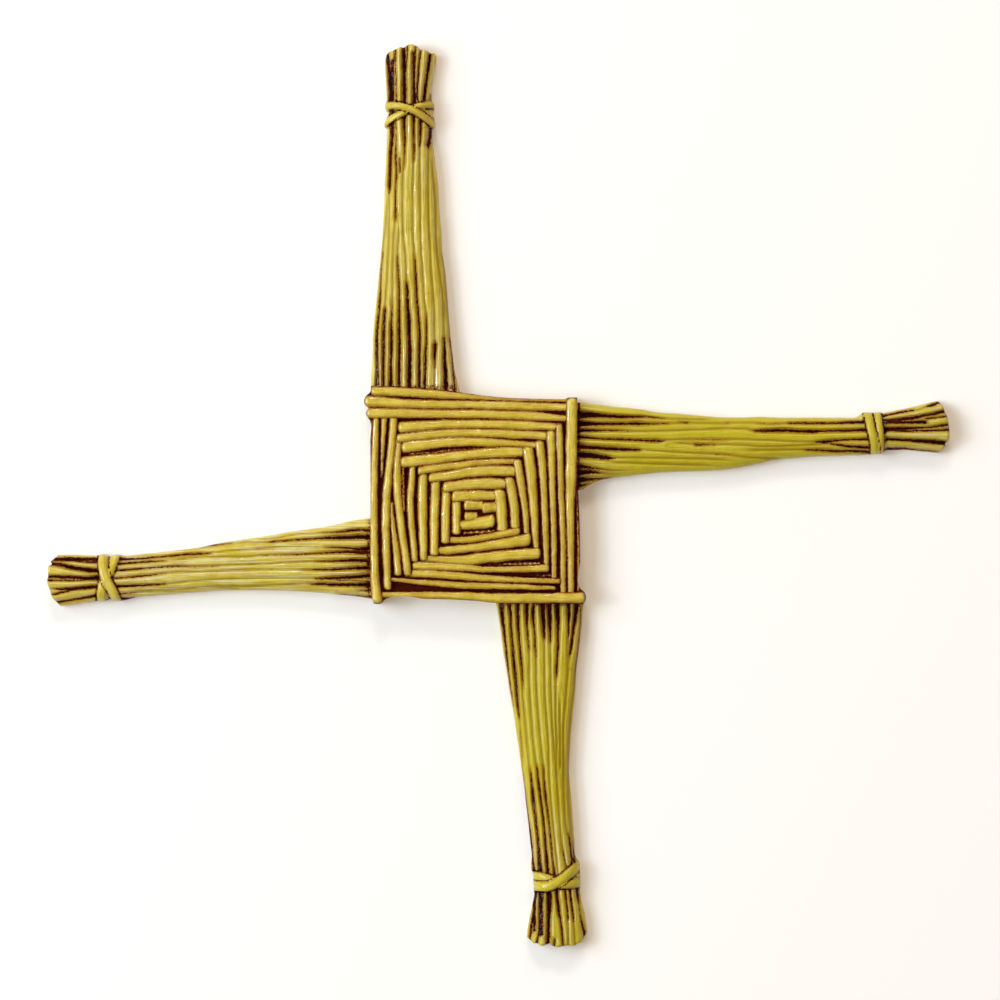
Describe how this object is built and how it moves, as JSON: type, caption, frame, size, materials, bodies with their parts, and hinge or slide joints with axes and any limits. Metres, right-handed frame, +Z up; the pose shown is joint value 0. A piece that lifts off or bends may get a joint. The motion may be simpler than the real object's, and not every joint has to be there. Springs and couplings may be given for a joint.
{
  "type": "brigid cross",
  "caption": "Wall cross cast as a relief of woven rushes: a square weave with four tied bundles that leave it like the blades of a pinwheel, and a flat back with a nail hole.",
  "frame": {"origin": "middle of the woven square, on the flat back face", "axes": "as it hangs, seen from the front: +X to the right and +Z up; the relief faces -Y and the flat back faces +Y"},
  "size_m": [0.23, 0.0084, 0.2304],
  "materials": {
    "painted_casting": "olive paint with a brown wash in the grooves, under a gloss varnish"
  },
  "bodies": {
    "root": {"cross": "painted_casting"}
  },
  "joints": []
}
